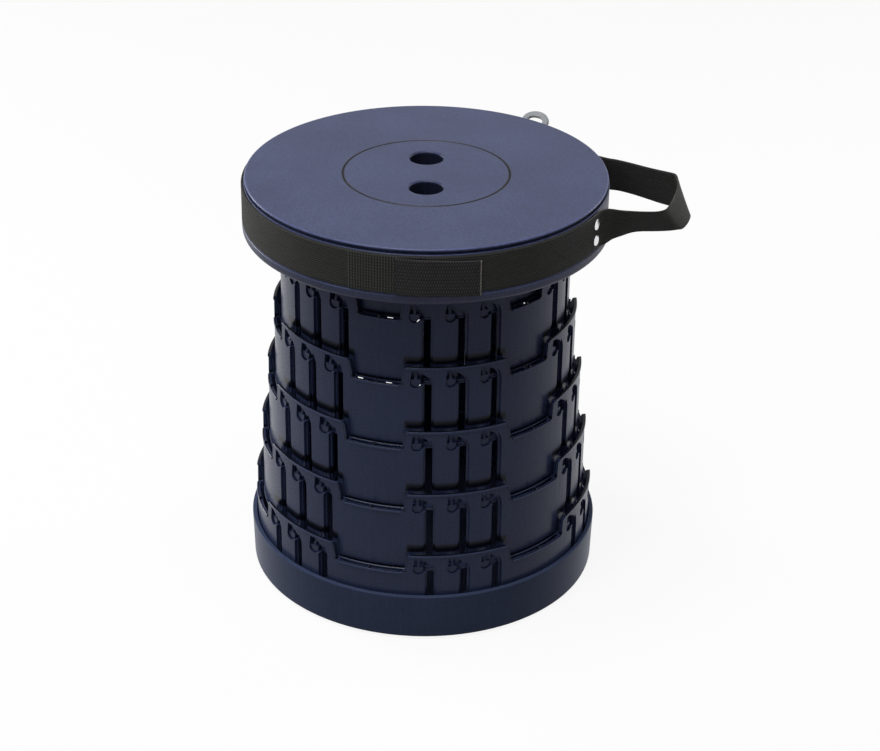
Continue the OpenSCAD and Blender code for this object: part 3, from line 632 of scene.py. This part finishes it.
# %% Strap
strap, strap_cut = band("carry_strap_webbing",
                        strap_edge(FREE_LOW, STRAP_LOW, 0.0003, [113.2, 114.9, 116.7, 119.5], -0.0005),
                        strap_edge(FREE_TOP, STRAP_HIGH, -0.0006, [112, 114.3, 116.7, 119.5], -0.0010),
                        STRAP_THICK, rows=14, wave=slack(0.00004, 0.11))

# %% [markdown]
# ## The closing at the front
#
# The strap's two ends meet at the front. A flap is sewn to the right one and laps over a patch of loops on
# the left one, with a patch of hooks under it. It hangs a little askew, lower on the right. All three could
# be painted on the strap, but the flap's free end stands 1 mm off it and throws a shadow, so they are bands
# of their own, each a little further out.

# %% Patches and flap
LOOP_W, LOOP_THICK, LOOP_TURNS = 0.0269, 0.0004, (-23, -1)
HOOK_W, HOOK_THICK, HOOK_TURNS = 0.0265, 0.00035, (-8, -1.2)
FLAP_LEFT, FLAP_TURNS, FLAP_THICK, FLAP_SOLID = -8.7, 25.1, 0.00095, 0.0010


def middle_of(node):
    """The radius half way through a thin part that lies round the axis."""
    part = measured(node)
    return round((part["bore"] + part["rim"]) / 2, 5)


loop_low = around(np.linspace(*LOOP_TURNS, 60), middle_of("loop_patch"), STRAP_LOW + 0.0002)
loop_patch, loop_cut = band("loop_patch_pile", loop_low, loop_low + [0, 0, LOOP_W], LOOP_THICK)
hook_low = around(np.linspace(*HOOK_TURNS, 24), middle_of("hook_patch"), STRAP_LOW + 0.0004)
hook_patch, hook_cut = band("hook_patch_tape", hook_low, hook_low + [0, 0, HOOK_W], HOOK_THICK)

# The flap is sewn down near the strap at its right end, and steps out over the patches at its left one. Its
# plain solid is FLAP_SOLID thick.
flap_solid = measured("closing_flap")
sewn_r, over_r = flap_solid["bore"] + FLAP_SOLID / 2, flap_solid["rim"] - FLAP_SOLID / 2
way = np.linspace(0, 1, 90)
flap_turn = FLAP_LEFT + FLAP_TURNS * way
flap_radius = sewn_r + (over_r - sewn_r) * (0.5 - 0.5 * np.tanh((flap_turn - 1.5) / 1.5))
flap, flap_cut = band("closing_flap_webbing", around(flap_turn, flap_radius, STRAP_LOW - 0.0021 * way),
                      around(flap_turn, flap_radius, STRAP_HIGH - 0.0006 - 0.0037 * way), FLAP_THICK,
                      wave=slack(0.00004, 0.03))

# %% [markdown]
# ## The tab of the hanging ring
#
# Behind the seat a short piece of webbing is folded round the ring's inner bar and sewn down. It could be a
# flat plate with a hole, but its round fold shows from the side, so it is a band like the others. Its middle
# line goes up the seat's side and round the bar.

# %% Tab
HANG = math.radians(144.3)
outward = np.array([math.sin(HANG), -math.cos(HANG), 0.0])
sideways = np.array([math.cos(HANG), math.sin(HANG), 0.0])
TILT, BAR_IN, FOLD_R, TAB_HALF = math.radians(38), 0.0056, 0.0038, 0.0031
RING_R, RING_Z = STRAP_SEAT_R + 0.0103, STRAP_HIGH - 0.0017
TAB_R = STRAP_SEAT_R + 0.00225
BAR = (RING_R - BAR_IN * math.cos(TILT), RING_Z - BAR_IN * math.sin(TILT))


def tab_line():
    """Up the seat's side, then round the bar on a circle of FOLD_R for 330 degrees."""
    a = np.radians(np.linspace(180, -150, 38))
    loop = np.column_stack([BAR[0] + FOLD_R * np.cos(a), BAR[1] + FOLD_R * np.sin(a)])
    rise = np.column_stack([np.full(10, TAB_R), np.linspace(BAR[1] - 0.0125, BAR[1] - 0.001, 10)])
    line = np.vstack([rise, loop])
    return line[:, :1] * outward + line[:, 1:] * np.array([0, 0, 1.0])


tab_middle = tab_line()
tab, tab_cut = band("hang_tab_webbing", tab_middle - sideways * TAB_HALF, tab_middle + sideways * TAB_HALF,
                    FLAP_THICK, rows=6)

# %% [markdown]
# ## Who moves with what
#
# Every new piece rides on the seat, takes the place of its plain solid and gets its finish. The lines could
# be written out for each piece. A table keeps what differs between them side by side: the piece, its plain
# solid, its finish, its material slot, its cut of cloth and how it is held, though nothing reads the last
# three. The tab is narrower than a finger, and has no entry for how it is held.

# %% Rides and cloth
SOFT = [(strap, "carry_strap", webbing, "webbing", strap_cut, "stretched"),
        (loop_patch, "loop_patch", loop_pile, "loop_pile", loop_cut, "stretched"),
        (hook_patch, "hook_patch", hook_tape, "hook_tape", hook_cut, "stretched"),
        (flap, "closing_flap", flap_webbing, "webbing", flap_cut, "stretched"),
        (tab, "hang_tab", webbing, "webbing", tab_cut, None)]
for piece, node, finish, slot, cut, held in SOFT:
    piece.data.materials.append(finish)
    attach(piece, "seat")
    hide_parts(node)
print("soft pieces on the seat:", len(SOFT))

# %% [markdown]
# ## The floor
#
# The photograph has a white ground and bright reflections along the walls' far edges, and yet its walls are
# dark. A floor lit until it is white would light up the walls too. So this one shows most of a plain white
# to the eye and to mirrors, which leaves its shadow faint, and sends little light up to the stool.

# %% Floor and backdrop
FLOOR_FRONT, FLOOR_BACK, FLOOR_HALF = -4.0, 4.0, 6.0
CURVE_R, WALL_TOP = 1.5, 6.0
WHITE = (1.0, 1.0, 1.0, 1.0)


def ground():
    """A floor that rises at the back in a quarter circle: the profile is carried across the width."""
    a = np.radians(np.linspace(-90, 0, 24))
    rise = np.column_stack([FLOOR_BACK + CURVE_R * np.cos(a), CURVE_R + CURVE_R * np.sin(a)])
    profile = np.vstack([[FLOOR_FRONT, 0.0], rise, [FLOOR_BACK + CURVE_R, WALL_TOP]])
    count = len(profile)
    sides = (-FLOOR_HALF, FLOOR_HALF)
    points = np.vstack([np.column_stack([np.full(count, side), profile]) for side in sides])
    spot = np.arange(count - 1)
    quads = np.column_stack([spot, spot + count, spot + count + 1, spot + 1])
    mesh = bpy.data.meshes.new("ground")
    mesh.from_pydata(points.tolist(), [], quads.tolist())
    mesh.polygons.foreach_set("use_smooth", np.ones(len(mesh.polygons), bool))
    piece = bpy.data.objects.new("ground", mesh)
    bpy.context.collection.objects.link(piece)
    return piece


def seen_directly(tree):
    """1 for the rays of the camera, and for those that a mirror or glass sends on; 0 for scattered light."""
    rays = tree.nodes.new("ShaderNodeLightPath")
    seen, mirrored, through = [Value(tree, rays.outputs[name]) for name in (
        "Is Camera Ray", "Is Glossy Ray", "Is Transmission Ray")]
    return seen + mirrored + through


def ground_finish():
    """Nine tenths white for the eye and for mirrors; the rest is a pale floor that takes the shadow. For
    scattered light the floor is a mid grey."""
    look = Finish("ground_white", Roughness=0.95, Specular_IOR_Level=0.0)
    share = seen_directly(look.tree)
    look.dress(Base_Color=look.tint(share, (0.2, 0.2, 0.2), (0.9, 0.9, 0.9)))
    white = look.node("ShaderNodeEmission", {}, {"Color": WHITE, "Strength": 1.0})
    pale = Value(look.tree, look.shader.outputs[0])
    mixed = look.node("ShaderNodeMixShader", {}, [share * 0.9, pale, white])
    look.tree.links.new(mixed.socket, look.tree.nodes["Material Output"].inputs["Surface"])
    return look.material


floor = ground()
floor.data.materials.append(ground_finish())
print("floor faces:", len(floor.data.polygons))

# %% [markdown]
# ## The light
#
# One large soft lamp hangs overhead, so the seat is lit and the walls fall off into their own colour. A
# small one in front lifts the handle, and two low ones behind draw the bright edges of the walls. The stool
# could also be lit by the world alone, but that lights the walls as much as the seat. The world is a dim
# grey here, and white only where a camera or a mirror looks straight at it.

# %% Lamps
def lamp(name, place, aim, size, watts):
    """An area lamp at a place, turned so that its face looks at the aim."""
    data = bpy.data.lights.new(name, "AREA")
    data.shape, data.size, data.size_y = "RECTANGLE", size[0], size[1]
    data.energy = watts
    holder = bpy.data.objects.new(name, data)
    holder.location = place
    holder.rotation_mode = "QUATERNION"
    holder.rotation_quaternion = (Vector(aim) - Vector(place)).to_track_quat("-Z", "Y")
    bpy.context.collection.objects.link(holder)
    print("lamp:", name, watts, "W")


lamp("overhead", place=(-0.30, -0.30, 2.2), aim=(0, 0, 0.3), size=(1.3, 1.3), watts=38)
lamp("front_left", place=(-1.2, -1.4, 1.7), aim=(0, 0, 0.15), size=(0.5, 1.0), watts=6)
lamp("rim_left", place=(-1.56, 0.9, 0.45), aim=(0, 0, 0.15), size=(0.5, 0.7), watts=15)
lamp("rim_right", place=(1.56, 0.9, 0.45), aim=(0, 0, 0.15), size=(0.5, 0.7), watts=8)

# %% World
world = bpy.data.worlds.new("studio")
world.use_nodes = True
bpy.context.scene.world = world
tree = world.node_tree
tree.nodes["Background"].inputs["Color"].default_value = (0.12, 0.12, 0.12, 1.0)
dim = Value(tree, tree.nodes["Background"].outputs[0])
bright = add_node(tree, "ShaderNodeBackground", {}, {"Color": WHITE, "Strength": 1.0})
both = add_node(tree, "ShaderNodeMixShader", {}, [seen_directly(tree), dim, bright])
tree.links.new(both.socket, tree.nodes["World Output"].inputs["Surface"])
bpy.context.scene.view_settings.view_transform = "Standard"
print("view transform:", bpy.context.scene.view_settings.view_transform)
